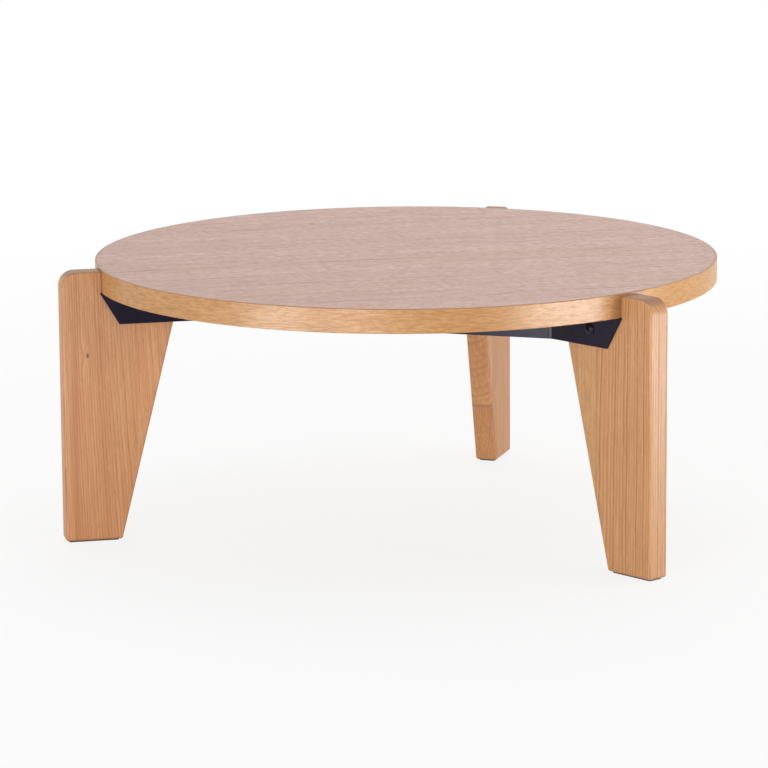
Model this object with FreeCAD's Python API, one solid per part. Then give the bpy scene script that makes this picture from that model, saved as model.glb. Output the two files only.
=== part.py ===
import FreeCAD
import Part
import math
import os

from FreeCAD import Vector

# Low round table on three oak legs. The legs stand outside the rim of a veneered top, which
# rests on a shoulder cut in each of them. Under the top a triangle of three bent steel brackets
# clamps every leg between two of their ends, with one bolt through the three.
# Millimetres. The origin is the centre of the top's upper face, +Z is up, the rear leg is on +Y.

# Top: a board between two veneers, with a lipping wrapped round its edge
top_diameter = 900.0
top_thickness = 34.0
veneer_thickness = 0.8
edge_band_thickness = 2.0
edge_glue_line = 0.1
rim_arris_radius = 1.0

# Whole table
table_height = 397.0
leg_names = ("rear", "left", "right")
bracket_names = ("left", "front", "right")
rear_azimuth = 90.0

# Legs: a tapered board, glued up from a wide outer stave and a narrow inner one
leg_thickness = 34.0
leg_overhang = 57.0
leg_foot_width = 82.0
outer_stave_width = 105.0
inner_stave_width = 68.0
leg_top_drop = 3.5
leg_corner_radius = 22.0
leg_arris_radius = 4.0
leg_rim_clearance = 0.3

# Felt pads under the feet
foot_pad_thickness = 2.0
foot_pad_inset = 5.0
foot_pad_corner_radius = 3.0

# Brackets: 3 mm sheet, with a flange along the straight run that is screwed to the top
sheet_thickness = 3.0
sheet_arris_radius = 0.6
bracket_depth = 46.0
bracket_tip_overhang = 2.0
bracket_heel_setback = 25.5
bracket_bend_setback = 16.5
end_bend_inner_radius = 20.0
bend_inner_radius = 3.0
flange_width = 28.0
flange_setback = 30.0
bend_relief_width = 3.0

# Leg bolts: each goes through two brackets and a leg into a sleeve nut with the same head
bolt_diameter = 8.0
bolt_drop = 22.0
bolt_glue_line_setback = 10.0
bolt_end_gap = 3.0
sleeve_diameter = 10.0
sleeve_length = 22.0
sleeve_bore_clearance = 0.1
sleeve_hole_clearance = 0.8
bolt_head_diameter = 16.0
bolt_head_edge_height = 0.8
bolt_head_height = 3.8
bolt_socket_width = 5.0
bolt_socket_depth = 2.4

# Bracket screws, up through the flange into threaded inserts in the board
screws_per_flange = 4
screw_diameter = 6.0
screw_length = 14.0
screw_hole_clearance = 0.6
screw_head_diameter = 12.0
screw_head_edge_height = 1.0
screw_head_height = 3.3
screw_socket_width = 4.0
screw_socket_depth = 2.0
insert_diameter = 9.0
insert_length = 13.0
insert_rib_count = 5
insert_rib_height = 0.5
insert_bore_clearance = 0.1
insert_seat_clearance = 0.1
insert_hole_extra_depth = 1.0

cut_overrun = 1.0

# Places that follow from the sizes above
top_radius = top_diameter / 2
board_radius = top_radius - edge_band_thickness
core_radius = board_radius - edge_glue_line
underside_z = -top_thickness
floor_z = -table_height
sole_z = floor_z + foot_pad_thickness
sector_angle = 360.0 / len(leg_names)
leg_half = leg_thickness / 2
leg_outer_r = top_radius + leg_overhang
foot_inner_r = leg_outer_r - leg_foot_width
stave_joint_r = leg_outer_r - outer_stave_width
shoulder_inner_r = stave_joint_r - inner_stave_width
leg_top_z = -leg_top_drop
bracket_bottom_z = underside_z - bracket_depth
bracket_tip_r = top_radius + bracket_tip_overhang
bracket_heel_r = top_radius - bracket_heel_setback
bracket_bend_r = shoulder_inner_r - bracket_bend_setback
bend_outer_radius = bend_inner_radius + sheet_thickness
end_bend_outer_radius = end_bend_inner_radius + sheet_thickness
bolt_r = stave_joint_r - bolt_glue_line_setback
bolt_z = underside_z - bolt_drop
bolt_grip = leg_thickness + 2 * sheet_thickness
bolt_shank_length = bolt_grip - bolt_end_gap
leg_hole_radius = (sleeve_diameter + sleeve_hole_clearance) / 2

up = Vector(0, 0, 1)
axis_point = Vector(0, 0, 0)


def turned(shape, azimuth):
    # A copy of a shape that was made along +X, turned round the table's axis.
    copy = shape.copy()
    copy.rotate(axis_point, up, azimuth)
    return copy


def leg_azimuths():
    return [rear_azimuth + sector_angle * i for i in range(len(leg_names))]


def bracket_azimuths():
    return [azimuth + sector_angle / 2 for azimuth in leg_azimuths()]


def rounded_face(points, radii):
    # A flat face inside straight sides, with each corner rounded to its own radius.
    ends = []
    for i, corner in enumerate(points):
        before = (points[i - 1] - corner).normalize()
        after = (points[(i + 1) % len(points)] - corner).normalize()
        half_angle = before.getAngle(after) / 2
        run = radii[i] / math.tan(half_angle)
        bisector = (before + after).normalize()
        middle = corner + bisector * (radii[i] / math.sin(half_angle) - radii[i])
        ends.append((corner + before * run, middle, corner + after * run))
    edges = []
    for i, (start, middle, end) in enumerate(ends):
        if radii[i]:
            edges.append(Part.Arc(start, middle, end).toShape())
        following = ends[(i + 1) % len(ends)][0]
        if not end.isEqual(following, Part.Precision.confusion()):
            edges.append(Part.LineSegment(end, following).toShape())
    return Part.Face(Part.Wire(Part.sortEdges(edges)[0]))


def sharp_face(points):
    return rounded_face(points, [0] * len(points))


def hex_prism(across_flats, height, base):
    # A hexagonal bar along +Z, from the given height up.
    corner_r = across_flats / math.sqrt(3)
    corners = []
    for i in range(6):
        angle = math.radians(60.0 * i)
        corners.append(Vector(corner_r * math.cos(angle), corner_r * math.sin(angle), base))
    return sharp_face(corners).extrude(up * height)


def at_height(edge, z):
    slack = Part.Precision.confusion()
    return all(abs(vertex.Z - z) < slack for vertex in edge.Vertexes)


def revolved(edges):
    return Part.Face(Part.Wire(edges)).revolve(axis_point, up, 360.0)


def domed_disc(radius, edge_height, height):
    # A disc along +Z whose top is a spherical cap above a short straight edge.
    rise = height - edge_height
    sphere_r = (radius**2 + rise**2) / (2 * rise)
    half_angle = math.atan2(radius, sphere_r - rise) / 2
    centre_z = height - sphere_r
    rim = Vector(radius, 0, edge_height)
    middle = Vector(
        sphere_r * math.sin(half_angle), 0, centre_z + sphere_r * math.cos(half_angle)
    )
    apex = Vector(0, 0, height)
    corner = Vector(radius, 0, 0)
    return revolved(
        [
            Part.LineSegment(axis_point, corner).toShape(),
            Part.LineSegment(corner, rim).toShape(),
            Part.Arc(rim, middle, apex).toShape(),
            Part.LineSegment(apex, axis_point).toShape(),
        ]
    )


# The top


def screw_places():
    # Where the bracket screws stand, as points on the underside of the top.
    places = []
    for azimuth in bracket_azimuths():
        for along in flange_screw_offsets():
            spot = Part.Vertex(flange_screw_x(), along, underside_z)
            places.append(turned(spot, azimuth).Point)
    return places


def insert_holes(depth):
    hole_r = insert_diameter / 2 + insert_seat_clearance
    return [
        Part.makeCylinder(hole_r, depth + cut_overrun, place - up * cut_overrun)
        for place in screw_places()
    ]


def tabletop_core():
    height = top_thickness - 2 * veneer_thickness
    core = Part.makeCylinder(core_radius, height, Vector(0, 0, underside_z + veneer_thickness))
    return core.cut(insert_holes(insert_length + insert_hole_extra_depth))


def tabletop_face_veneer():
    return Part.makeCylinder(core_radius, veneer_thickness, Vector(0, 0, -veneer_thickness))


def tabletop_backing_veneer():
    sheet = Part.makeCylinder(core_radius, veneer_thickness, Vector(0, 0, underside_z))
    return sheet.cut(insert_holes(veneer_thickness + cut_overrun))


def tabletop_edge_band():
    corners = [
        Vector(board_radius, 0, underside_z),
        Vector(top_radius, 0, underside_z),
        Vector(top_radius, 0, 0),
        Vector(board_radius, 0, 0),
    ]
    section = rounded_face(corners, [0, rim_arris_radius, rim_arris_radius, 0])
    return section.revolve(axis_point, up, 360.0)


# The legs, made along +X


def taper_r(z):
    # The radius of the leg's sloping inner edge at a height.
    share_up = (z - sole_z) / (underside_z - sole_z)
    return foot_inner_r + (shoulder_inner_r - foot_inner_r) * share_up


def leg_blank():
    # The tapered board before the top's seat is cut, all arrises rounded.
    corners = [
        Vector(leg_outer_r, -leg_half, sole_z),
        Vector(leg_outer_r, -leg_half, leg_top_z),
        Vector(taper_r(leg_top_z), -leg_half, leg_top_z),
        Vector(foot_inner_r, -leg_half, sole_z),
    ]
    side = rounded_face(corners, [0, leg_corner_radius, 0, 0])
    board = side.extrude(Vector(0, leg_thickness, 0))
    arrises = [edge for edge in board.Edges if on_broad_face(edge) or at_height(edge, sole_z)]
    return board.makeFillet(leg_arris_radius, arrises)


def on_broad_face(edge):
    sides = {round(vertex.Y / leg_half) for vertex in edge.Vertexes}
    return len(sides) == 1


def whole_leg():
    seat_r = top_radius + leg_rim_clearance
    seat = Part.makeCylinder(seat_r, top_thickness + cut_overrun, Vector(0, 0, underside_z))
    hole = Part.makeCylinder(
        leg_hole_radius,
        leg_thickness + 2 * cut_overrun,
        Vector(bolt_r, -leg_half - cut_overrun, bolt_z),
        Vector(0, 1, 0),
    )
    return leg_blank().cut([seat, hole])


def leg_staves():
    # The leg sawn along its glue line into the outer and the inner stave.
    leg = whole_leg()
    outer_side = Part.makeBox(
        outer_stave_width + cut_overrun,
        leg_thickness + 2 * cut_overrun,
        table_height + cut_overrun,
        Vector(stave_joint_r, -leg_half - cut_overrun, floor_z),
    )
    return {"outer": leg.common(outer_side), "inner": leg.cut(outer_side)}


def foot_pad():
    inner = foot_inner_r + foot_pad_inset
    outer = leg_outer_r - foot_pad_inset
    half = leg_half - foot_pad_inset
    corners = [
        Vector(inner, -half, floor_z),
        Vector(outer, -half, floor_z),
        Vector(outer, half, floor_z),
        Vector(inner, half, floor_z),
    ]
    outline = rounded_face(corners, [foot_pad_corner_radius] * len(corners))
    return outline.extrude(up * foot_pad_thickness)


# The leg bolts, across the leg, with the bolt's own head on the -Y side


def across_leg(shape, distance):
    # Lay a shape that was made along +Z across the leg, its base at a distance from the middle.
    laid = shape.copy()
    laid.rotate(axis_point, Vector(1, 0, 0), -90.0)
    laid.translate(Vector(bolt_r, distance, bolt_z))
    return laid


def facing_back(shape):
    flipped = shape.copy()
    flipped.rotate(axis_point, Vector(1, 0, 0), 180.0)
    return flipped


def socket_head(diameter, edge_height, height, socket_width, socket_depth):
    # A low dome with a hexagonal socket, standing on its flat side.
    dome = domed_disc(diameter / 2, edge_height, height)
    return dome.cut(hex_prism(socket_width, socket_depth + cut_overrun, height - socket_depth))


def leg_bolt_head():
    return socket_head(
        bolt_head_diameter,
        bolt_head_edge_height,
        bolt_head_height,
        bolt_socket_width,
        bolt_socket_depth,
    )


def leg_bolt():
    shank = Part.makeCylinder(bolt_diameter / 2, bolt_shank_length)
    bolt = facing_back(leg_bolt_head()).fuse(shank).removeSplitter()
    return across_leg(bolt, -bolt_grip / 2)


def leg_sleeve_nut():
    sleeve = Part.makeCylinder(sleeve_diameter / 2, sleeve_length, axis_point, -up)
    bore_r = (bolt_diameter + sleeve_bore_clearance) / 2
    bore = Part.makeCylinder(bore_r, sleeve_length + cut_overrun, axis_point, -up)
    nut = leg_bolt_head().fuse(sleeve).cut(bore).removeSplitter()
    return across_leg(nut, bolt_grip / 2)


# The brackets, made with +X midway between two legs


def leg_frame_point(r, offset, z):
    # A point given by its radius along the next leg and its offset across that leg.
    half_sector = math.radians(sector_angle / 2)
    return Vector(
        r * math.cos(half_sector) - offset * math.sin(half_sector),
        r * math.sin(half_sector) + offset * math.cos(half_sector),
        z,
    )


def mirrored(point):
    return Vector(point.x, -point.y, point.z)


def bend_point():
    # Where the face that lies on the leg turns into the straight run.
    return leg_frame_point(bracket_bend_r, -leg_half, bracket_bottom_z)


def outer_bend_point():
    away_from_leg = leg_frame_point(0, -1, 0)
    outward = Vector(1, 0, 0)
    mitre = (away_from_leg + outward) / (1 + away_from_leg.dot(outward))
    return bend_point() + mitre * sheet_thickness


def web_outer_x():
    return bend_point().x + sheet_thickness


def bracket_web():
    # The upright strip: a straight run with both ends bent out along the legs.
    tip = leg_frame_point(bracket_tip_r, -leg_half, bracket_bottom_z)
    outer_tip = leg_frame_point(bracket_tip_r, -leg_half - sheet_thickness, bracket_bottom_z)
    inner_side = [tip, bend_point(), mirrored(bend_point()), mirrored(tip)]
    outer_side = [mirrored(outer_tip), mirrored(outer_bend_point()), outer_bend_point(), outer_tip]
    inner_radii = [0, end_bend_inner_radius, end_bend_inner_radius, 0]
    outer_radii = [0, end_bend_outer_radius, end_bend_outer_radius, 0]
    web = rounded_face(inner_side + outer_side, outer_radii + inner_radii)
    return web.extrude(up * bracket_depth)


def slanted_end_cut():
    # What is sheared off below the line from the tip at the rim to the heel.
    tip = Vector(bracket_tip_r, 0, underside_z)
    heel = Vector(bracket_heel_r, 0, bracket_bottom_z)
    overrun = (tip - heel).normalize() * cut_overrun
    start = heel - overrun
    end = tip + overrun
    face = sharp_face([start, end, Vector(end.x, 0, start.z)])
    face.translate(Vector(0, -leg_half - sheet_thickness - cut_overrun, 0))
    wedge = face.extrude(Vector(0, sheet_thickness + 2 * cut_overrun, 0))
    return turned(wedge, sector_angle / 2)


def flange_half_length():
    return bend_point().y - flange_setback


def flange_screw_offsets():
    pitch = 2 * flange_half_length() / screws_per_flange
    return [pitch * (i + 0.5) - flange_half_length() for i in range(screws_per_flange)]


def flange_screw_x():
    return web_outer_x() - (bend_outer_radius + flange_width) / 2


def bracket_flange():
    # The strip bent inwards along the top of the straight run, with its screw holes.
    outer_x = web_outer_x()
    inner_x = outer_x - sheet_thickness
    edge_x = outer_x - flange_width
    low_z = underside_z - bend_outer_radius
    start_y = -flange_half_length()
    corners = [
        Vector(outer_x, start_y, low_z),
        Vector(outer_x, start_y, underside_z),
        Vector(edge_x, start_y, underside_z),
        Vector(edge_x, start_y, underside_z - sheet_thickness),
        Vector(inner_x, start_y, underside_z - sheet_thickness),
        Vector(inner_x, start_y, low_z),
    ]
    section = rounded_face(corners, [0, bend_outer_radius, 0, 0, bend_inner_radius, 0])
    strip = section.extrude(Vector(0, 2 * flange_half_length(), 0))
    hole_r = (screw_diameter + screw_hole_clearance) / 2
    hole_z = underside_z - sheet_thickness - cut_overrun
    holes = [
        Part.makeCylinder(
            hole_r, sheet_thickness + 2 * cut_overrun, Vector(flange_screw_x(), along, hole_z)
        )
        for along in flange_screw_offsets()
    ]
    return strip.cut(holes)


def flange_room():
    # The top of the web that gives way to the flange's bend and its end reliefs.
    half = flange_half_length() + bend_relief_width
    return Part.makeBox(
        sheet_thickness + 2 * cut_overrun,
        2 * half,
        bend_outer_radius + cut_overrun,
        Vector(
            web_outer_x() - sheet_thickness - cut_overrun,
            -half,
            underside_z - bend_outer_radius,
        ),
    )


def bracket_bolt_hole():
    hole = Part.makeCylinder(
        leg_hole_radius,
        sheet_thickness + 2 * cut_overrun,
        Vector(bolt_r, -leg_half - sheet_thickness - cut_overrun, bolt_z),
        Vector(0, 1, 0),
    )
    return turned(hole, sector_angle / 2)


def bracket():
    cuts = [flange_room()]
    for cut in (slanted_end_cut(), bracket_bolt_hole()):
        cuts.append(cut)
        cuts.append(cut.mirror(axis_point, Vector(0, 1, 0)))
    web = bracket_web().cut(cuts)
    low_edges = [edge for edge in web.Edges if at_height(edge, bracket_bottom_z)]
    return web.makeFillet(sheet_arris_radius, low_edges).fuse(bracket_flange()).removeSplitter()


# The bracket screws and their inserts, upright


def bracket_screw():
    head = socket_head(
        screw_head_diameter,
        screw_head_edge_height,
        screw_head_height,
        screw_socket_width,
        screw_socket_depth,
    )
    shank = Part.makeCylinder(screw_diameter / 2, screw_length)
    screw = facing_back(head).fuse(shank).removeSplitter()
    screw.translate(Vector(0, 0, -sheet_thickness))
    return screw


def top_insert():
    # A ribbed barrel, flush with the underside of the top.
    rib_pitch = insert_length / insert_rib_count
    crest_r = insert_diameter / 2
    root_r = crest_r - insert_rib_height
    bore_r = (screw_diameter + insert_bore_clearance) / 2
    outline = [Vector(bore_r, 0, 0)]
    for i in range(insert_rib_count):
        outline.append(Vector(crest_r, 0, rib_pitch * i))
        outline.append(Vector(root_r, 0, rib_pitch * (i + 0.5)))
    outline.append(Vector(crest_r, 0, insert_length))
    outline.append(Vector(bore_r, 0, insert_length))
    return sharp_face(outline).revolve(axis_point, up, 360.0)


def at_screw_places(shape):
    copies = []
    for place in screw_places():
        copy = shape.copy()
        copy.translate(place)
        copies.append(copy)
    return copies


def at_legs(shape):
    return [turned(shape, azimuth) for azimuth in leg_azimuths()]


def nodes():
    # Every piece of the table under the name of its node.
    made = {
        "tabletop_core": tabletop_core(),
        "tabletop_face_veneer": tabletop_face_veneer(),
        "tabletop_backing_veneer": tabletop_backing_veneer(),
        "tabletop_edge_band": tabletop_edge_band(),
        "leg_bolts": Part.makeCompound(at_legs(leg_bolt())),
        "leg_sleeve_nuts": Part.makeCompound(at_legs(leg_sleeve_nut())),
        "bracket_screws": Part.makeCompound(at_screw_places(bracket_screw())),
        "top_inserts": Part.makeCompound(at_screw_places(top_insert())),
    }
    staves = leg_staves()
    for name, azimuth in zip(leg_names, leg_azimuths()):
        for side, stave in staves.items():
            made[f"leg_{name}_{side}_stave"] = turned(stave, azimuth)
        made[f"foot_pad_{name}"] = turned(foot_pad(), azimuth)
    for name, azimuth in zip(bracket_names, bracket_azimuths()):
        made[f"bracket_{name}"] = turned(bracket(), azimuth)
    return made


def main():
    os.makedirs("parts", exist_ok=True)
    for name, shape in nodes().items():
        shape.exportStep(os.path.join("parts", f"{name}.step"))
        print(name, len(shape.Solids), "solid(s)", round(shape.Volume), "mm3", shape.isValid())


main()
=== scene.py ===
import bpy
from math import cos, pi, radians, sin
from mathutils import Matrix, Vector


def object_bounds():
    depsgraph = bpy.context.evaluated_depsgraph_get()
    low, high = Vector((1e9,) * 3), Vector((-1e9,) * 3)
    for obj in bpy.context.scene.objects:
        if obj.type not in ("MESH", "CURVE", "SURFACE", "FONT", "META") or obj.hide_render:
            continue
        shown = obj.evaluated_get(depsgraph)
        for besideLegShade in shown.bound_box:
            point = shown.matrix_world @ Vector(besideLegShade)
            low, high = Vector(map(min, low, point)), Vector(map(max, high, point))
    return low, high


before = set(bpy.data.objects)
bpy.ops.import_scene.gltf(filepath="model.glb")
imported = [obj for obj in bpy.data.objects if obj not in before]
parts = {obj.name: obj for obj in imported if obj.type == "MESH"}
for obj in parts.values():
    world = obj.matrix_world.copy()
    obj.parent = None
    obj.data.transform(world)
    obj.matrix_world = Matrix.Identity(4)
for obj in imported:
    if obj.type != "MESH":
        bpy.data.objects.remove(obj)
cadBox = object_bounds()
print("table loaded:", len(parts), "pieces")

legAzimuths = {"rear": 90.0, "left": 210.0, "right": 330.0}  # degrees round from +X
halfBay = 60.0  # half the turn from one leg to the next


# Short ways to lay out shader nodes

def newNode(tree, kind):
    return tree.nodes.new("ShaderNode" + kind)


def feed(tree, socket, value):
    if isinstance(value, bpy.types.NodeSocket):
        tree.links.new(value, socket)
    elif value is not None:
        socket.default_value = value


def reckon(tree, operation, first, second=None, third=None):
    node = newNode(tree, "Math")
    node.operation = operation
    for socket, value in zip(node.inputs, (first, second, third)):
        feed(tree, socket, value)
    return node.outputs[0]


def addUp(tree, total, *masks):  # each mask comes with its share
    for mask, share in masks:
        total = reckon(tree, "MULTIPLY_ADD", mask, share, total)
    return total


def clamped(value):  # holds a sum between 0 and 1
    value.node.use_clamp = True
    return value


def vectorSum(tree, operation, first, second=None, scale=None):
    node = newNode(tree, "VectorMath")
    node.operation = operation
    feed(tree, node.inputs[0], first)
    feed(tree, node.inputs[1], second)
    if scale is not None:
        feed(tree, node.inputs["Scale"], scale)
    return node.outputs["Value" if operation in ("LENGTH", "DOT_PRODUCT") else "Vector"]


def fromAxis(tree, position):
    flat = vectorSum(tree, "MULTIPLY", position, (1, 1, 0))
    return vectorSum(tree, "LENGTH", flat)


def inSteps(tree, position, size):  # the position, counted in steps of this size
    return vectorSum(tree, "SCALE", position, scale=reckon(tree, "DIVIDE", 1.0, size))


def splitAxes(tree, vector):
    node = newNode(tree, "SeparateXYZ")
    tree.links.new(vector, node.inputs[0])
    return node.outputs


def joinAxes(tree, x, y, z):
    node = newNode(tree, "CombineXYZ")
    for socket, value in zip(node.inputs, (x, y, z)):
        feed(tree, socket, value)
    return node.outputs[0]


def fade(tree, value, low, high, start=0.0, end=1.0):
    node = newNode(tree, "MapRange")
    node.interpolation_type = "SMOOTHSTEP"
    sockets = ("Value", "From Min", "From Max", "To Min", "To Max")
    for socket, given in zip(sockets, (value, low, high, start, end)):
        feed(tree, node.inputs[socket], given)
    return node.outputs["Result"]


def mixColour(tree, amount, first, second):
    node = newNode(tree, "Mix")
    node.data_type = "RGBA"
    node.clamp_factor = True
    feed(tree, node.inputs["Factor"], amount)
    feed(tree, node.inputs[6], first)  # 6, 7 and output 2 are the colour sockets
    feed(tree, node.inputs[7], second)
    return node.outputs[2]


def stain(tree, colour, mask, depth, tint):
    return mixColour(tree, reckon(tree, "MULTIPLY", mask, depth), colour, tint)


# A kind of noise is its repeats in a metre along each axis, its detail and its roughness

def noise(tree, position, kind):
    repeats, detail, roughness = kind
    stretched = vectorSum(tree, "MULTIPLY", position, repeats)
    node = newNode(tree, "TexNoise")
    node.inputs["Scale"].default_value = 1.0
    node.inputs["Detail"].default_value = detail
    node.inputs["Roughness"].default_value = roughness
    tree.links.new(stretched, node.inputs["Vector"])
    return node.outputs[0]


def swing(tree, position, kind):  # the same noise about zero
    return reckon(tree, "SUBTRACT", noise(tree, position, kind), 0.5)


def rollFor(tree, number):  # one fixed random value for each whole number
    node = newNode(tree, "TexWhiteNoise")
    node.noise_dimensions = "1D"
    tree.links.new(number, node.inputs["W"])
    return node.outputs["Value"]


def newGroup(name, inputs, outputs):
    tree = bpy.data.node_groups.new(name, "ShaderNodeTree")
    for title, kind, value in inputs:
        socket = tree.interface.new_socket(name=title, in_out="INPUT", socket_type="NodeSocket" + kind)
        if value is not None:
            socket.default_value = value
    for title, kind in outputs:
        tree.interface.new_socket(name=title, in_out="OUTPUT", socket_type="NodeSocket" + kind)
    given = tree.nodes.new("NodeGroupInput").outputs
    result = tree.nodes.new("NodeGroupOutput").inputs
    return tree, given, result


# Places a group and gives its sockets the values of look that carry their names, as leafWidth
# does for Leaf Width

def useGroup(tree, group, look, **more):
    node = newNode(tree, "Group")
    node.node_tree = group
    for name, value in {**look, **more}.items():
        title = "".join(" " + c if c.isupper() else c for c in name).title()
        if title in node.inputs:
            feed(tree, node.inputs[title], value)
    return node.outputs


# Oak as a solid: rings round a pith, fibre streaks, pores and ray flecks, with the grain along Z

oakHabit = {
    "seedStep": (3.71, 2.33, 1.87),
    "slowNoise": ((8, 8, 1.5), 1.0, 0.5),
    "quickNoise": ((60, 60, 8), 1.0, 0.5),
    "quickWander": 0.0016,
    "yearStep": 0.37,  # wide and narrow years come in spells
    "yearNoise": ((1, 1, 1), 1.0, 0.5),
    "yearSpread": 1.2,
    "earlyRise": 0.1,  # early wood starts at once and fades into late wood
    "earlyFall": 2.0,
    "yearDepths": (0.5, 1.2),
    "fineNoise": ((480, 480, 14), 3.0, 0.6),
    "fineShare": 2.2,
    "middleNoise": ((150, 150, 6), 2.0, 0.5),
    "middleShare": 0.6,
    "tickNoise": ((520, 520, 70), 2.0, 0.5),
    "evenDarkness": 0.25,
    "bandNoise": ((36, 36, 1.8), 2.0, 0.5),
    "toneFade": (0.2, 0.8),
    "fleckNoise": ((90, 800, 230), 1.0, 0.5),
    "fleckFade": (0.6, 0.74),
    "poreNoise": ((2100, 2100, 90), 1.0, 0.5),
    "poreFade": (0.56, 0.7),
    "poresInEarly": 0.9,
    "poresAnywhere": 0.12,
    "poreColour": (0.13, 0.045, 0.016, 1),
    "poreColourShare": 0.7,
    "middleMatt": 0.12,
    "poreMatt": 0.2,
    "fleckShine": 0.05,
    "meanHeight": 0.6,
    "fineHeight": 0.5,
    "earlySink": 0.2,
    "poreSink": 0.7,
}


def makeOakGrain(habit):
    tree, given, result = newGroup(
        "oakGrain",
        [
            ("Position", "Vector", None),
            ("Seed", "Float", 0.0),
            ("Pith", "Vector", (-0.2, -0.1, 0.0)),
            ("Ring Width", "Float", 0.003),
            ("Wander", "Float", 0.01),
            ("Ring Depth", "Float", 0.5),
            ("Streak Depth", "Float", 0.5),
            ("Tick Depth", "Float", 1.0),
            ("Band Depth", "Float", 0.5),
            ("Pore Depth", "Float", 0.5),
            ("Fleck Depth", "Float", 0.2),
            ("Push", "Float", 0.0),
            ("Pale Wood", "Color", (0.66, 0.37, 0.2, 1)),
            ("Warm Wood", "Color", (0.58, 0.28, 0.13, 1)),
            ("Dark Wood", "Color", (0.36, 0.17, 0.08, 1)),
            ("Matt", "Float", 0.5),
        ],
        [("Color", "Color"), ("Roughness", "Float"), ("Height", "Float")],
    )
    shift = vectorSum(tree, "SCALE", habit["seedStep"], scale=given["Seed"])
    place = vectorSum(tree, "ADD", given["Position"], shift)

    slow = swing(tree, place, habit["slowNoise"])
    quick = swing(tree, place, habit["quickNoise"])
    fromPith = fromAxis(tree, vectorSum(tree, "SUBTRACT", given["Position"], given["Pith"]))
    reach = addUp(tree, fromPith, (slow, given["Wander"]), (quick, habit["quickWander"]))
    reach = reckon(tree, "ADD", reach, given["Push"])
    rings = reckon(tree, "DIVIDE", reach, given["Ring Width"])
    spell = joinAxes(tree, reckon(tree, "MULTIPLY", rings, habit["yearStep"]), given["Seed"], 0.0)
    rings = addUp(tree, rings, (noise(tree, spell, habit["yearNoise"]), habit["yearSpread"]))
    within = reckon(tree, "FRACT", rings)
    early = reckon(tree, "POWER", reckon(tree, "SUBTRACT", 1.0, within), habit["earlyFall"])
    early = reckon(tree, "MULTIPLY", early, fade(tree, within, 0.0, habit["earlyRise"]))
    year = rollFor(tree, reckon(tree, "FLOOR", rings))
    early = reckon(tree, "MULTIPLY", early, fade(tree, year, 0.0, 1.0, *habit["yearDepths"]))

    fine = swing(tree, place, habit["fineNoise"])
    middle = swing(tree, place, habit["middleNoise"])
    ticks = swing(tree, place, habit["tickNoise"])
    bands = swing(tree, place, habit["bandNoise"])
    flecks = fade(tree, noise(tree, place, habit["fleckNoise"]), *habit["fleckFade"])
    pores = fade(tree, noise(tree, place, habit["poreNoise"]), *habit["poreFade"])
    crowding = clamped(addUp(tree, habit["poresAnywhere"], (early, habit["poresInEarly"])))
    pores = reckon(tree, "MULTIPLY", pores, crowding)

    streaks = addUp(tree, 0.0, (middle, habit["middleShare"]), (fine, habit["fineShare"]))
    streaks = addUp(tree, streaks, (ticks, given["Tick Depth"]))
    darkness = addUp(tree, habit["evenDarkness"], (streaks, given["Streak Depth"]))
    darkness = clamped(addUp(tree, darkness, (early, given["Ring Depth"])))
    tone = fade(tree, addUp(tree, 0.5, (bands, given["Band Depth"])), *habit["toneFade"])
    wood = mixColour(tree, tone, given["Pale Wood"], given["Warm Wood"])
    wood = mixColour(tree, darkness, wood, given["Dark Wood"])
    wood = stain(tree, wood, flecks, given["Fleck Depth"], given["Pale Wood"])
    deep = mixColour(tree, habit["poreColourShare"], given["Dark Wood"], habit["poreColour"])
    wood = stain(tree, wood, pores, given["Pore Depth"], deep)
    rough = addUp(tree, given["Matt"], (middle, habit["middleMatt"]), (pores, habit["poreMatt"]))
    rough = clamped(addUp(tree, rough, (flecks, -habit["fleckShine"])))
    height = addUp(tree, habit["meanHeight"], (fine, habit["fineHeight"]), (early, -habit["earlySink"]))
    height = clamped(addUp(tree, height, (pores, -habit["poreSink"])))
    tree.links.new(wood, result["Color"])
    tree.links.new(rough, result["Roughness"])
    tree.links.new(height, result["Height"])
    return tree


# Slip matched leaves side by side: grain along X comes out along Z, and every leaf is the
# next slice of the same log, slipped along it

leafLaying = {
    "leanNoise": ((2.2, 0.4, 1), 1.0, 0.5),
    "leanReach": 0.004,
    "jointFade": (0.0003, 0.0024),
}


def makeVeneerLeaves(laying):
    tree, given, result = newGroup(
        "veneerLeaves",
        [
            ("Position", "Vector", None),
            ("First Joint", "Float", 0.0),
            ("Leaf Width", "Float", 0.16),
            ("Slip", "Float", 0.01),
            ("Drift", "Float", 0.0006),
        ],
        [("Position", "Vector"), ("Joint", "Float"), ("Leaf Tone", "Float")],
    )
    x, y = splitAxes(tree, given["Position"])[:2]
    count = reckon(tree, "SUBTRACT", y, given["First Joint"])
    count = reckon(tree, "DIVIDE", count, given["Leaf Width"])
    leaf = reckon(tree, "FLOOR", count)
    inLeaf = reckon(tree, "MULTIPLY", reckon(tree, "FRACT", count), given["Leaf Width"])
    lean = swing(tree, given["Position"], laying["leanNoise"])
    across = addUp(tree, inLeaf, (lean, laying["leanReach"]))
    depth = reckon(tree, "MULTIPLY", leaf, given["Drift"])
    along = addUp(tree, x, (leaf, given["Slip"]))
    toEdge = reckon(tree, "MINIMUM", inLeaf, reckon(tree, "SUBTRACT", given["Leaf Width"], inLeaf))
    tree.links.new(joinAxes(tree, across, depth, along), result["Position"])
    tree.links.new(fade(tree, toEdge, *laying["jointFade"], 1.0, 0.0), result["Joint"])
    tree.links.new(rollFor(tree, leaf), result["Leaf Tone"])
    return tree


# Uneven sheen, as hands and cloths leave it

sheenMaking = {"cloudNoise": ((1, 1, 1), 3.0, 0.55)}


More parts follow.
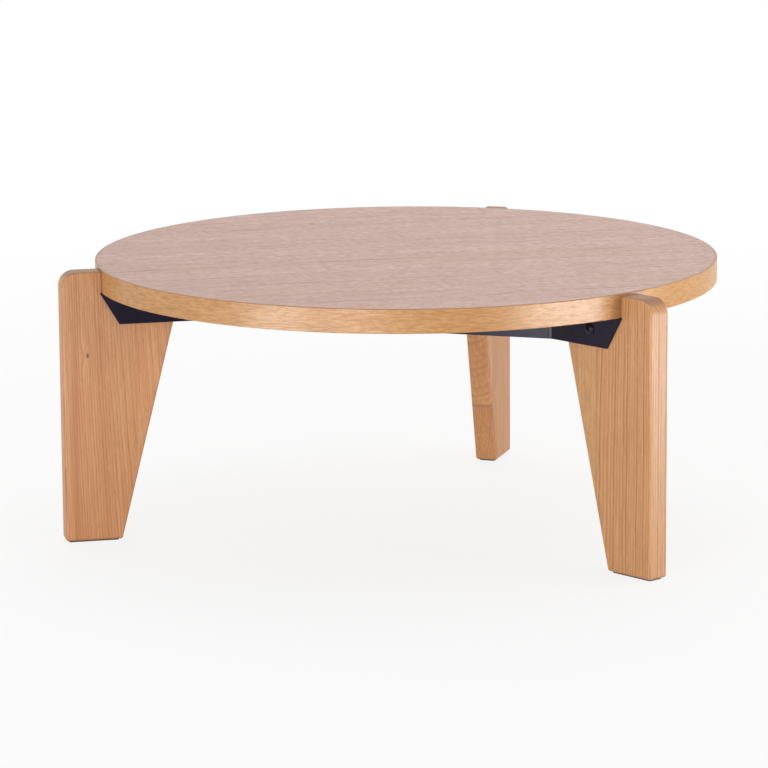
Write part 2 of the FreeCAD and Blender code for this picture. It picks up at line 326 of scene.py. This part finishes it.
def makeHandledSheen(making):
    tree, given, result = newGroup(
        "handledSheen",
        [
            ("Position", "Vector", None),
            ("Patch Size", "Float", 0.05),
            ("Level", "Float", 0.45),
            ("Spread", "Float", 0.1),
        ],
        [("Roughness", "Float"), ("Cloud", "Float")],
    )
    patches = inSteps(tree, given["Position"], given["Patch Size"])
    cloud = noise(tree, patches, making["cloudNoise"])
    offset = reckon(tree, "SUBTRACT", cloud, 0.5)
    rough = clamped(addUp(tree, given["Level"], (offset, given["Spread"])))
    tree.links.new(rough, result["Roughness"])
    tree.links.new(cloud, result["Cloud"])
    return tree


# Fine dimpled skin of a baked powder or a plated surface

skinMaking = {
    "coarseNoise": ((1, 1, 1), 1.0, 0.5),
    "sharpNoise": ((4.3, 4.3, 4.3), 1.0, 0.5),
    "speckFade": (0.62, 0.75),
}


def makeDimpledSkin(making):
    tree, given, result = newGroup(
        "dimpledSkin",
        [
            ("Position", "Vector", None),
            ("Cell Size", "Float", 0.0012),
            ("Speckle", "Float", 0.3),
        ],
        [("Height", "Float"), ("Speck", "Float")],
    )
    cells = inSteps(tree, given["Position"], given["Cell Size"])
    coarse = noise(tree, cells, making["coarseNoise"])
    sharp = noise(tree, cells, making["sharpNoise"])
    tree.links.new(addUp(tree, coarse, (sharp, given["Speckle"])), result["Height"])
    tree.links.new(fade(tree, sharp, *making["speckFade"]), result["Speck"])
    return tree


oakGrain = makeOakGrain(oakHabit)
veneerLeaves = makeVeneerLeaves(leafLaying)
handledSheen = makeHandledSheen(sheenMaking)
dimpledSkin = makeDimpledSkin(skinMaking)
print("grain, leaves, sheen and skin groups made")


def newFinish(name, turn=0.0):
    material = bpy.data.materials.new(name)
    material.use_nodes = True
    tree = material.node_tree
    turned = newNode(tree, "Mapping")
    turned.inputs["Rotation"].default_value = (0.0, 0.0, -radians(turn))
    tree.links.new(newNode(tree, "TexCoord").outputs["Object"], turned.inputs["Vector"])
    return material, tree, tree.nodes["Principled BSDF"], turned.outputs[0]


def setSurface(tree, shader, colour, roughness):
    tree.links.new(colour, shader.inputs["Base Color"])
    tree.links.new(roughness, shader.inputs["Roughness"])


def addBump(tree, shader, height, relief):
    bump = newNode(tree, "Bump")
    bump.inputs["Strength"].default_value = 1.0
    bump.inputs["Distance"].default_value = relief
    tree.links.new(height, bump.inputs["Height"])
    tree.links.new(bump.outputs["Normal"], shader.inputs["Normal"])


def dress(material, *nodes):
    for node in nodes:
        for slot in parts[node].material_slots:
            slot.material = material


# Top: leaves of oak veneer, turned from +X by grainTurn degrees, in satin lacquer

faceVeneer = {
    "grainTurn": 31.5,
    "leafWidth": 0.1585,
    "firstJoint": -0.0345,
    "slip": 0.021,
    "drift": 0.0011,
    "seed": 4.0,
    "pith": (-0.31, 0.09, 0.0),
    "ringWidth": 0.0034,
    "wander": 0.02,
    "ringDepth": 0.3,
    "streakDepth": 0.8,
    "bandDepth": 1.3,
    "tickDepth": 2.0,
    "poreDepth": 0.8,
    "fleckDepth": 0.1,
    # these pale pink colours are partly the veneer's own tone and partly a painted whitish sheen
    "paleWood": (0.865, 0.63, 0.575, 1),
    "warmWood": (0.78, 0.55, 0.495, 1),
    "darkWood": (0.37, 0.22, 0.175, 1),
    "matt": 0.54,
    "waveNoise": ((9, 9, 1), 1.0, 0.5),
    "waveReach": 0.012,
    "figureNoise": ((0.9, 13, 1), 4.0, 0.62),
    "figureFade": (0.38, 0.66),
    "figureDepth": 0.45,
    "figureColour": (0.58, 0.4, 0.29, 1),
    "dashNoise": ((20, 120, 1), 4.0, 0.66),
    "dashFade": (0.5, 0.74),
    "dashDepth": 0.5,
    "crumbNoise": ((100, 380, 1), 2.0, 0.6),
    "crumbShare": 2.7,
    "crossNoise": ((100, 22, 1), 1.0, 0.5),
    "crossShare": 0.5,
    "shimmerHalf": 0.4,
    "shimmerDepth": 0.5,
    "jointNoise": ((8, 160, 1), 2.0, 0.5),
    "jointFade": (0.44, 0.64),
    "jointDepths": (0.08, 0.8),
    "jointColour": (0.16, 0.09, 0.07, 1),
    "leafShade": 0.03,
    "endShade": 0.19,  # painted shade: the whole top darkens towards its left, as if less light fell there
    "endFade": (-0.4, 0.4),
    "edgeRadius": 0.4478,  # dark line where the face meets the lipping
    "edgeWidth": 0.001,
    "edgeDepth": 0.5,
    "patchSize": 0.11,
    "spread": 0.1,
    "ior": 1.36,
    "relief": 0.00008,
}


def finishFaceVeneer(look):
    material, tree, shader, place = newFinish("faceVeneer", look["grainTurn"])
    leaves = useGroup(tree, veneerLeaves, look, position=place)
    grain = useGroup(tree, oakGrain, look, position=leaves["Position"])
    x, y, z = splitAxes(tree, place)
    wave = reckon(tree, "MULTIPLY", noise(tree, place, look["waveNoise"]), look["waveReach"])
    waved = joinAxes(tree, x, reckon(tree, "ADD", y, wave), z)

    figure = noise(tree, waved, look["figureNoise"])
    figure = fade(tree, figure, *look["figureFade"], 0.0, look["figureDepth"])
    colour = mixColour(tree, figure, grain["Color"], look["figureColour"])
    dashes = fade(tree, noise(tree, waved, look["dashNoise"]), *look["dashFade"])
    colour = stain(tree, colour, dashes, look["dashDepth"], look["darkWood"])
    crumbs = noise(tree, waved, look["crumbNoise"])
    crossFire = noise(tree, place, look["crossNoise"])
    shimmer = addUp(tree, 0.0, (crumbs, look["crumbShare"]), (crossFire, look["crossShare"]))
    level = (look["crumbShare"] + look["crossShare"]) / 2
    shimmer = fade(tree, shimmer, level - look["shimmerHalf"], level + look["shimmerHalf"])
    colour = stain(tree, colour, shimmer, look["shimmerDepth"], look["darkWood"])

    broken = noise(tree, place, look["jointNoise"])
    broken = fade(tree, broken, *look["jointFade"], *look["jointDepths"])
    colour = stain(tree, colour, leaves["Joint"], broken, look["jointColour"])
    # painted shade darkens the top towards its left; each leaf's own tone is added to it
    shade = fade(tree, x, *look["endFade"], look["endShade"], 0.0)
    shade = addUp(tree, shade, (leaves["Leaf Tone"], look["leafShade"]))
    colour = mixColour(tree, shade, colour, look["darkWood"])
    insideEdge = look["edgeRadius"] - look["edgeWidth"]
    edge = fade(tree, fromAxis(tree, place), insideEdge, look["edgeRadius"], 0.0, look["edgeDepth"])
    colour = mixColour(tree, edge, colour, look["jointColour"])

    sheen = useGroup(tree, handledSheen, look, position=place, level=0.0)
    setSurface(tree, shader, colour, reckon(tree, "ADD", grain["Roughness"], sheen["Roughness"]))
    shader.inputs["IOR"].default_value = look["ior"]
    addBump(tree, shader, grain["Height"], look["relief"])
    return material


dress(finishFaceVeneer(faceVeneer), "tabletop_face_veneer")


# Underside: wider leaves of the same oak, left matt and darker

backingVeneer = {
    "grainTurn": 31.5,
    "leafWidth": 0.19,
    "firstJoint": 0.04,
    "slip": 0.09,
    "drift": 0.003,
    "seed": 9.0,
    "pith": (-0.2, 0.05, 0.0),
    "ringWidth": 0.0042,
    "wander": 0.05,
    "ringDepth": 0.45,
    "paleWood": (0.6, 0.36, 0.2, 1),
    "warmWood": (0.52, 0.29, 0.15, 1),
    "darkWood": (0.36, 0.18, 0.085, 1),
    "matt": 0.62,
    "jointDepth": 0.7,
    "relief": 0.00012,
}


def finishBackingVeneer(look):
    material, tree, shader, place = newFinish("backingVeneer", look["grainTurn"])
    leaves = useGroup(tree, veneerLeaves, look, position=place)
    grain = useGroup(tree, oakGrain, look, position=leaves["Position"])
    colour = stain(tree, grain["Color"], leaves["Joint"], look["jointDepth"], look["darkWood"])
    setSurface(tree, shader, colour, grain["Roughness"])
    addBump(tree, shader, grain["Height"], look["relief"])
    return material


dress(finishBackingVeneer(backingVeneer), "tabletop_backing_veneer")


# Lipping: golden oak bent round the edge, its grain running round it

edgeLipping = {
    "pale": (0.675, 0.366, 0.146, 1),
    "warm": (0.588, 0.292, 0.099, 1),
    "dark": (0.42, 0.165, 0.04, 1),
    "layerTilt": 0.7,  # the layers lie aslant, so that the upper edge shows them too
    "slowNoise": ((7, 7, 20), 1.0, 0.5),
    "slowReach": 0.0015,
    "fineNoise": ((64, 64, 760), 3.0, 0.65),
    "fineShare": 1.25,
    "middleNoise": ((60, 60, 340), 3.0, 0.5),
    "middleShare": 0.55,
    "streakFade": (0.72, 1.12),
    "streakDepth": 0.62,
    "bandNoise": ((10, 10, 60), 2.0, 0.5),
    "bandShare": 0.75,
    "rippleNoise": ((330, 330, 60), 2.0, 0.5),  # silvery ripples across the strip
    "rippleShare": 0.25,
    "toneFade": (0.2, 0.8),
    "dashNoise": ((90, 90, 1500), 1.0, 0.5),
    "dashFade": (0.6, 0.72),
    "dashDepth": 0.4,
    "dashColour": (0.22, 0.1, 0.035, 1),
    "rightStripAndPaintedLight": (0.87, 0.44, 0.13, 1),  # the strip between the right and the rear leg is paler, partly its own piece of oak and partly painted light
    "rightStripDepth": 0.8,
    "rightStripStreaks": 0.42,
    "innerRadius": 0.448,
    "glueWidth": 0.0004,
    "glueDepth": 0.8,
    "glueColour": (0.2, 0.1, 0.05, 1),
    "legHalf": 0.0172,
    "paintedShadeReach": 0.024,  # painted shade on the rim beside the legs
    "paintedShadeDepth": 0.5,
    "paintedShadeColour": (0.2, 0.085, 0.035, 1),
    "rubbedFade": (-0.0014, -0.0004),  # hands darken the upper arris
    "rubbedDepth": 0.5,
    "rubbedColour": (0.27, 0.13, 0.07, 1),
    "matt": 0.27,
    "middleMatt": 0.14,
    "dashSink": 0.6,
    "ior": 1.5,
    "relief": 0.00008,
}


def finishEdgeLipping(look):
    material, tree, shader, place = newFinish("edgeLipping")
    x, y, z = splitAxes(tree, place)
    fromCentre = fromAxis(tree, place)
    slow = noise(tree, place, look["slowNoise"])
    layer = addUp(tree, z, (fromCentre, -look["layerTilt"]), (slow, look["slowReach"]))
    bent = joinAxes(tree, x, y, layer)

    bands = noise(tree, bent, look["bandNoise"])
    ripples = noise(tree, bent, look["rippleNoise"])
    tone = addUp(tree, 0.0, (ripples, look["rippleShare"]), (bands, look["bandShare"]))
    colour = mixColour(tree, fade(tree, tone, *look["toneFade"]), look["pale"], look["warm"])
    middleOfStrip = radians(legAzimuths["rear"] - halfBay)
    towards = (cos(middleOfStrip), sin(middleOfStrip), 0)
    towardsStrip = vectorSum(tree, "DOT_PRODUCT", place, towards)
    inStrip = reckon(tree, "GREATER_THAN", towardsStrip, look["innerRadius"] * cos(radians(halfBay)))
    # painted light: the strip on that side is paled, partly its own wood and partly standing in for
    # strong light there
    colour = stain(tree, colour, inStrip, look["rightStripDepth"], look["rightStripAndPaintedLight"])

    fine = noise(tree, bent, look["fineNoise"])
    middle = noise(tree, bent, look["middleNoise"])
    streaks = addUp(tree, 0.0, (middle, look["middleShare"]), (fine, look["fineShare"]))
    change = look["rightStripStreaks"] - look["streakDepth"]
    depth = addUp(tree, look["streakDepth"], (inStrip, change))
    colour = stain(tree, colour, fade(tree, streaks, *look["streakFade"]), depth, look["dark"])
    dashes = fade(tree, noise(tree, bent, look["dashNoise"]), *look["dashFade"])
    colour = stain(tree, colour, dashes, look["dashDepth"], look["dashColour"])

    glueEnd = look["innerRadius"] + look["glueWidth"]
    glue = fade(tree, fromCentre, look["innerRadius"], glueEnd, look["glueDepth"], 0.0)
    colour = mixColour(tree, glue, colour, look["glueColour"])
    # painted shade: the rim is darkened close to both sides of each leg
    turnFromRear = reckon(tree, "SUBTRACT", reckon(tree, "ARCTAN2", y, x), radians(legAzimuths["rear"]))
    turnFromLeg = reckon(tree, "PINGPONG", turnFromRear, radians(halfBay))
    fromLeg = reckon(tree, "MULTIPLY", turnFromLeg, fromCentre)
    paintedShadeEnd = look["legHalf"] + look["paintedShadeReach"]
    besideLegShade = fade(tree, fromLeg, look["legHalf"], paintedShadeEnd, look["paintedShadeDepth"], 0.0)
    colour = mixColour(tree, besideLegShade, colour, look["paintedShadeColour"])
    rubbed = fade(tree, z, *look["rubbedFade"], 0.0, look["rubbedDepth"])
    colour = mixColour(tree, rubbed, colour, look["rubbedColour"])

    setSurface(tree, shader, colour, addUp(tree, look["matt"], (middle, look["middleMatt"])))
    shader.inputs["IOR"].default_value = look["ior"]
    addBump(tree, shader, addUp(tree, fine, (dashes, -look["dashSink"])), look["relief"])
    return material


dress(finishEdgeLipping(edgeLipping), "tabletop_edge_band")


# Core: pressed board of fibres, raw

coreBoard = {
    "pale": (0.52, 0.38, 0.24, 1),
    "dark": (0.36, 0.25, 0.15, 1),
    "chipNoise": ((420, 420, 900), 4.0, 0.65),
    "chipFade": (0.35, 0.65),
    "matt": 0.75,
    "chipMatt": 0.15,
    "relief": 0.0003,
}


def finishCoreBoard(look):
    material, tree, shader, place = newFinish("coreBoard")
    chips = noise(tree, place, look["chipNoise"])
    colour = mixColour(tree, fade(tree, chips, *look["chipFade"]), look["pale"], look["dark"])
    setSurface(tree, shader, colour, addUp(tree, look["matt"], (chips, look["chipMatt"])))
    addBump(tree, shader, chips, look["relief"])
    return material


dress(finishCoreBoard(coreBoard), "tabletop_core")
print("top dressed: two veneers, lipping and board")


# Legs: two glued staves each, every stave cut from its own place in the log.
# Inside a leg X runs out from the table's centre, Y across the board and Z up.

staveLooks = {
    "leg_left_outer_stave": {
        "seed": 1.0, "pith": (0.33, -0.13, 0.0), "lean": (0.3, -1.2), "glueLine": 0.2,
        "ringWidth": 0.0025, "wander": 0.014, "ringDepth": 0.6, "bandDepth": 0.75,
        "paleWood": (0.7, 0.37, 0.17, 1), "warmWood": (0.63, 0.28, 0.115, 1),
        "stripe": 0.49, "knot": (0.471, 0.017, -0.124),
    },
    "leg_left_inner_stave": {
        "seed": 2.0, "pith": (0.24, 0.02, 0.0), "lean": (0.4, -3.0), "glueLine": 0.2,
        "ringWidth": 0.0027, "wander": 0.012, "ringDepth": 0.5, "bandDepth": 0.7,
        "paleWood": (0.75, 0.4, 0.187, 1), "warmWood": (0.675, 0.306, 0.127, 1),
    },
    "leg_right_outer_stave": {
        "seed": 3.0, "pith": (0.35, 0.12, 0.0), "lean": (-0.9, 0.4), "glueLine": 0.3,
        "ringWidth": 0.0031, "wander": 0.008, "ringDepth": 0.78, "bandDepth": 0.2,
        "paleWood": (0.77, 0.43, 0.202, 1), "warmWood": (0.715, 0.357, 0.152, 1),
    },
    "leg_right_inner_stave": {
        "seed": 5.0, "pith": (0.22, -0.03, 0.0), "lean": (0.2, 0.8), "glueLine": 0.3,
        "ringWidth": 0.0034, "wander": 0.014, "ringDepth": 0.4, "bandDepth": 0.5,
        "paleWood": (0.77, 0.465, 0.21, 1), "warmWood": (0.7, 0.38, 0.162, 1),
    },
    "leg_rear_outer_stave": {
        "seed": 6.0, "pith": (0.34, 0.14, 0.0), "lean": (0.4, -0.6), "glueLine": 0.4,
        "ringWidth": 0.0031, "wander": 0.01, "ringDepth": 0.42, "bandDepth": 0.7,
        "paleWood": (0.7, 0.362, 0.162, 1), "warmWood": (0.62, 0.294, 0.112, 1),
    },
    "leg_rear_inner_stave": {
        "seed": 7.0, "pith": (0.24, 0.01, 0.0), "lean": (0.3, 0.5), "glueLine": 0.4,
        "ringWidth": 0.0027, "wander": 0.008, "ringDepth": 0.3, "bandDepth": 0.8,
        "paleWood": (0.8, 0.443, 0.206, 1), "warmWood": (0.725, 0.353, 0.148, 1),
    },
}

legOil = {
    "darkWood": (0.42, 0.165, 0.048, 1),
    "streakDepth": 0.55,
    "poreDepth": 0.6,
    "fleckDepth": 0.1,
    "matt": 0.46,
    "gluedAt": 0.402,
    "glueFade": (0.0002, 0.001),
    "glueColour": (0.26, 0.11, 0.045, 1),
    "stripeNoise": ((20, 20, 5), 2.0, 0.5),
    "stripeWander": 0.012,
    "stripeFade": (0.001, 0.009),
    "stripeDepth": 0.55,
    "stripeTop": (-0.14, -0.05),
    "stripeAbove": 0.1,
    "stripeColour": (0.46, 0.17, 0.07, 1),
    "knotStretch": (1, 1, 0.55),
    "knotPush": 0.0035,
    "knotReach": 0.014,
    "knotFade": (0.00076, 0.00285),
    "knotDepth": 0.9,
    "knotColour": (0.09, 0.03, 0.012, 1),
    "endFade": (0.4, 0.95),
    "endDepth": 0.75,
    "endGrain": (0.22, 0.105, 0.066, 1),
    "ior": 1.5,
    "relief": 0.00012,
}


def finishStave(node, look):
    leg, board = node.split("_")[1:3]
    material, tree, shader, place = newFinish(leg + board.title() + "Stave", legAzimuths[leg])
    lean = newNode(tree, "Mapping")
    lean.inputs["Rotation"].default_value = [radians(angle) for angle in look["lean"]] + [0.0]
    tree.links.new(place, lean.inputs["Vector"])
    fromKnot = push = None
    if "knot" in look:  # the rings swerve round the knot
        away = vectorSum(tree, "SUBTRACT", place, look["knot"])
        away = vectorSum(tree, "MULTIPLY", away, look["knotStretch"])
        fromKnot = vectorSum(tree, "LENGTH", away)
        push = fade(tree, fromKnot, 0.0, look["knotReach"], look["knotPush"], 0.0)
    grain = useGroup(tree, oakGrain, look, position=lean.outputs[0], push=push)
    colour = grain["Color"]

    axes = splitAxes(tree, place)
    if "stripe" in look:  # a reddish streak low on the leg
        strayed = swing(tree, place, look["stripeNoise"])
        strayed = addUp(tree, axes["X"], (strayed, look["stripeWander"]))
        fromStripe = reckon(tree, "ABSOLUTE", reckon(tree, "SUBTRACT", strayed, look["stripe"]))
        stripe = fade(tree, fromStripe, *look["stripeFade"], look["stripeDepth"], 0.0)
        low = fade(tree, axes["Z"], *look["stripeTop"], 1.0, look["stripeAbove"])
        colour = stain(tree, colour, stripe, low, look["stripeColour"])
    if "knot" in look:
        knot = fade(tree, fromKnot, *look["knotFade"], look["knotDepth"], 0.0)
        colour = mixColour(tree, knot, colour, look["knotColour"])
    fromGlue = reckon(tree, "ABSOLUTE", reckon(tree, "SUBTRACT", axes["X"], look["gluedAt"]))
    seam = fade(tree, fromGlue, *look["glueFade"], look["glueLine"], 0.0)
    colour = mixColour(tree, seam, colour, look["glueColour"])
    facing = splitAxes(tree, newNode(tree, "TexCoord").outputs["Normal"])["Z"]
    ends = fade(tree, reckon(tree, "ABSOLUTE", facing), *look["endFade"], 0.0, look["endDepth"])
    colour = mixColour(tree, ends, colour, look["endGrain"])  # end grain drinks more oil

    setSurface(tree, shader, colour, grain["Roughness"])
    shader.inputs["IOR"].default_value = look["ior"]
    addBump(tree, shader, grain["Height"], look["relief"])
    return material


for node, look in staveLooks.items():
    dress(finishStave(node, {**legOil, **look}), node)
print("legs dressed:", len(staveLooks), "staves")


# Felt pads under the feet

footFelt = {
    "dark": (0.055, 0.038, 0.028, 1),
    "pale": (0.16, 0.115, 0.085, 1),
    "fibreNoise": ((900, 900, 900), 3.0, 0.7),
    "fibreShare": 0.7,
    "tuftNoise": ((160, 160, 160), 2.0, 0.5),
    "tuftShare": 0.3,
    "feltFade": (0.36, 0.64),
    "matt": 0.86,
    "tuftMatt": 0.1,
    "fuzz": 0.3,
    "relief": 0.0005,
}


def finishFelt(look):
    material, tree, shader, place = newFinish("footFelt")
    fibres = noise(tree, place, look["fibreNoise"])
    tufts = noise(tree, place, look["tuftNoise"])
    felt = addUp(tree, 0.0, (tufts, look["tuftShare"]), (fibres, look["fibreShare"]))
    colour = mixColour(tree, fade(tree, felt, *look["feltFade"]), look["dark"], look["pale"])
    setSurface(tree, shader, colour, addUp(tree, look["matt"], (tufts, look["tuftMatt"])))
    shader.inputs["Sheen Weight"].default_value = look["fuzz"]
    addBump(tree, shader, felt, look["relief"])
    return material


dress(finishFelt(footFelt), "foot_pad_rear", "foot_pad_left", "foot_pad_right")


# Brackets: bent sheet under a blue-black powder coat

bracketCoat = {
    "dark": (0.005, 0.0026, 0.0105, 1),
    "pale": (0.0115, 0.006, 0.025, 1),
    "cloudFade": (0.3, 0.7),
    "speckColour": (0.03, 0.026, 0.04, 1),
    "speckDepth": 0.25,
    "cellSize": 0.0011,
    "speckle": 0.3,
    "patchSize": 0.045,
    "level": 0.13,
    "spread": 0.08,
    "ior": 1.28,
    "gleam": (0.86, 0.84, 1, 1),
    "relief": 0.00004,
}


def finishBracket(look):
    material, tree, shader, place = newFinish("bracketCoat")
    skin = useGroup(tree, dimpledSkin, look, position=place)
    sheen = useGroup(tree, handledSheen, look, position=place)
    cloud = fade(tree, sheen["Cloud"], *look["cloudFade"])
    colour = mixColour(tree, cloud, look["dark"], look["pale"])
    colour = stain(tree, colour, skin["Speck"], look["speckDepth"], look["speckColour"])
    setSurface(tree, shader, colour, sheen["Roughness"])
    shader.inputs["IOR"].default_value = look["ior"]
    shader.inputs["Specular Tint"].default_value = look["gleam"]
    addBump(tree, shader, skin["Height"], look["relief"])
    return material


dress(finishBracket(bracketCoat), "bracket_front", "bracket_left", "bracket_right")


# Bolts, sleeve nuts and screws: black plated steel

boltPlating = {
    "dark": (0.007, 0.004, 0.01, 1),
    "pale": (0.015, 0.01, 0.021, 1),
    "cloudFade": (0.35, 0.7),
    "cellSize": 0.0005,
    "speckle": 0.5,
    "patchSize": 0.006,
    "level": 0.34,
    "spread": 0.25,
    "ior": 1.3,
    "gleam": (0.86, 0.84, 1, 1),
    "relief": 0.00002,
}


def finishBolts(look):
    material, tree, shader, place = newFinish("boltPlating")
    skin = useGroup(tree, dimpledSkin, look, position=place)
    sheen = useGroup(tree, handledSheen, look, position=place)
    cloud = fade(tree, sheen["Cloud"], *look["cloudFade"])
    setSurface(tree, shader, mixColour(tree, cloud, look["dark"], look["pale"]), sheen["Roughness"])
    shader.inputs["IOR"].default_value = look["ior"]
    shader.inputs["Specular Tint"].default_value = look["gleam"]
    addBump(tree, shader, skin["Height"], look["relief"])
    return material


dress(finishBolts(boltPlating), "leg_bolts", "leg_sleeve_nuts", "bracket_screws")


# Threaded inserts: zinc, inside the board

insertZinc = {
    "dark": (0.42, 0.42, 0.4, 1),
    "pale": (0.62, 0.62, 0.6, 1),
    "patchSize": 0.004,
    "level": 0.35,
    "spread": 0.3,
}


def finishInserts(look):
    material, tree, shader, place = newFinish("insertZinc")
    sheen = useGroup(tree, handledSheen, look, position=place)
    colour = mixColour(tree, sheen["Cloud"], look["dark"], look["pale"])
    setSurface(tree, shader, colour, sheen["Roughness"])
    shader.inputs["Metallic"].default_value = 1.0
    return material


dress(finishInserts(insertZinc), "top_inserts")
print("felt, brackets and fixings dressed")


# Room: a wide pale floor under a white surround, soft lamps, and white cards beside the table
# that are seen in reflections only

room = {
    "floorGap": 0.0003,  # a hair under the feet
    "floorHalf": 40.0,
    "floorColour": (0.9, 0.9, 0.9, 1),
    "floorGlow": (0.82, 1.0),  # pure white further off
    "glowReach": (0.9, 3.0),
    "surround": 0.42,
    "backdrop": 1.0,
    "white": (1, 1, 1, 1),
    "lampDistance": 4.0,
    "cardHeight": 0.37,
    "cardLift": 0.01,
}
floorHeight = cadBox[0][2] - room["floorGap"]

lamps = {
    "sideWindow": {
        "azimuth": -12, "elevation": 7, "spread": 10, "strength": 0.56, "colour": (1, 0.985, 0.965),
    },
    "frontFill": {
        "azimuth": -96, "elevation": 7, "spread": 46, "strength": 1.65, "colour": (1, 0.99, 0.98),
    },
    "overhead": {
        "azimuth": 60, "elevation": 74, "spread": 60, "strength": 0.74, "colour": (1, 1, 1),
    },
    "backFill": {
        "azimuth": 115, "elevation": 20, "spread": 60, "strength": 1.15, "colour": (1, 1, 1),
    },
    "rightFill": {
        "azimuth": 45, "elevation": 15, "spread": 40, "strength": 0.3, "colour": (1, 0.99, 0.98),
    },
}

glossCards = {
    "sideCard": {"azimuth": -14, "distance": 1.4, "width": 1.15, "level": 11.5},
    "frontCard": {"azimuth": -88, "distance": 1.3, "width": 0.4, "level": 5.5},
    "slimCard": {"azimuth": -112, "distance": 1.36, "width": 0.44, "level": 9.5},
    "leftCard": {"azimuth": -140, "distance": 1.9, "width": 1.0, "level": 0.9},
}


def mixShaders(tree, amount, first, second):
    node = newNode(tree, "MixShader")
    for socket, value in zip(node.inputs, (amount, first, second)):
        tree.links.new(value, socket)
    return node.outputs[0]


def showsRoom(tree):  # 1 for rays that show the room, 0 for rays that light the table
    path = newNode(tree, "LightPath").outputs
    seen = reckon(tree, "MAXIMUM", path["Is Camera Ray"], path["Is Glossy Ray"])
    return reckon(tree, "MAXIMUM", seen, path["Is Transmission Ray"])


def makeFloor(look):
    half = look["floorHalf"]
    mesh = bpy.data.meshes.new("floor")
    corners = [(-half, -half, 0), (half, -half, 0), (half, half, 0), (-half, half, 0)]
    mesh.from_pydata(corners, [], [(0, 1, 2, 3)])
    floor = bpy.data.objects.new("floor", mesh)
    floor.location.z = floorHeight
    bpy.context.scene.collection.objects.link(floor)
    material = bpy.data.materials.new("paleFloor")
    material.use_nodes = True
    tree = material.node_tree
    tree.nodes.clear()
    matt = newNode(tree, "BsdfDiffuse")
    matt.inputs["Color"].default_value = look["floorColour"]
    fromTable = vectorSum(tree, "LENGTH", newNode(tree, "TexCoord").outputs["Object"])
    glow = fade(tree, fromTable, *look["glowReach"], *look["floorGlow"])
    glow = reckon(tree, "MULTIPLY", showsRoom(tree), glow)
    above = mixShaders(tree, glow, matt.outputs[0], newNode(tree, "Emission").outputs[0])
    fromBelow = newNode(tree, "NewGeometry").outputs["Backfacing"]
    clear = newNode(tree, "BsdfTransparent").outputs[0]  # so that the underside can be seen
    surface = mixShaders(tree, fromBelow, above, clear)
    tree.links.new(surface, newNode(tree, "OutputMaterial").inputs["Surface"])
    mesh.materials.append(material)


def makeSurround(look):
    world = bpy.data.worlds.new("paleRoom")
    world.use_nodes = True
    bpy.context.scene.world = world
    tree = world.node_tree
    tree.nodes.clear()
    shades = []
    for strength in (look["surround"], look["backdrop"]):
        shade = newNode(tree, "Background")
        shade.inputs["Color"].default_value = look["white"]
        shade.inputs["Strength"].default_value = strength
        shades.append(shade.outputs[0])
    surface = mixShaders(tree, showsRoom(tree), *shades)
    tree.links.new(surface, newNode(tree, "OutputWorld").inputs["Surface"])


def hangLamp(name, look):
    light = bpy.data.lights.new(name, "SUN")
    light.energy = look["strength"]
    light.angle = radians(look["spread"])
    light.color = look["colour"]
    lamp = bpy.data.objects.new(name, light)
    lamp.visible_glossy = False
    bpy.context.scene.collection.objects.link(lamp)
    around = radians(look["azimuth"])
    up = radians(look["elevation"])
    towards = Vector((cos(up) * cos(around), cos(up) * sin(around), sin(up)))
    lamp.rotation_euler = towards.to_track_quat("Z", "Y").to_euler()
    lamp.location = towards * room["lampDistance"]


def standGlossCard(name, look):
    height = room["cardHeight"]
    light = bpy.data.lights.new(name, "AREA")
    light.shape = "RECTANGLE"
    light.size = look["width"]
    light.size_y = height
    light.energy = look["level"] * look["width"] * height * pi  # as bright whatever its size
    card = bpy.data.objects.new(name, light)
    bpy.context.scene.collection.objects.link(card)
    towards = Vector((cos(radians(look["azimuth"])), sin(radians(look["azimuth"])), 0))
    card.location = towards * look["distance"]
    card.location.z = floorHeight + room["cardLift"] + height / 2
    card.rotation_euler = towards.to_track_quat("Z", "Y").to_euler()
    card.visible_camera = False
    card.visible_diffuse = False


makeFloor(room)
makeSurround(room)
for name, look in lamps.items():
    hangLamp(name, look)
for name, look in glossCards.items():
    standGlossCard(name, look)
print("room lit with", len(lamps), "lamps and", len(glossCards), "cards")


# Camera: low, a little to the right of the side with two legs

viewpoint = {
    "place": (1.7258, -5.6693, 0.9907),
    "heading": 17.2497,
    "downwards": 11.2863,
    "roll": -0.3797,
    "lens": 194.18,
    "sensor": 36.0,
    "farthest": 200.0,
}


def setCamera(look):
    lens = bpy.data.cameras.new("viewpoint")
    lens.lens = look["lens"]
    lens.sensor_width = look["sensor"]
    lens.sensor_fit = "HORIZONTAL"
    lens.clip_end = look["farthest"]
    camera = bpy.data.objects.new("viewpoint", lens)
    bpy.context.scene.collection.objects.link(camera)
    heading = Matrix.Rotation(radians(look["heading"]), 4, "Z")
    pitch = Matrix.Rotation(radians(90.0 - look["downwards"]), 4, "X")
    roll = Matrix.Rotation(radians(look["roll"]), 4, "Z")
    camera.matrix_world = Matrix.Translation(look["place"]) @ heading @ pitch @ roll
    bpy.context.scene.camera = camera


setCamera(viewpoint)
bpy.context.scene.view_settings.view_transform = "Standard"
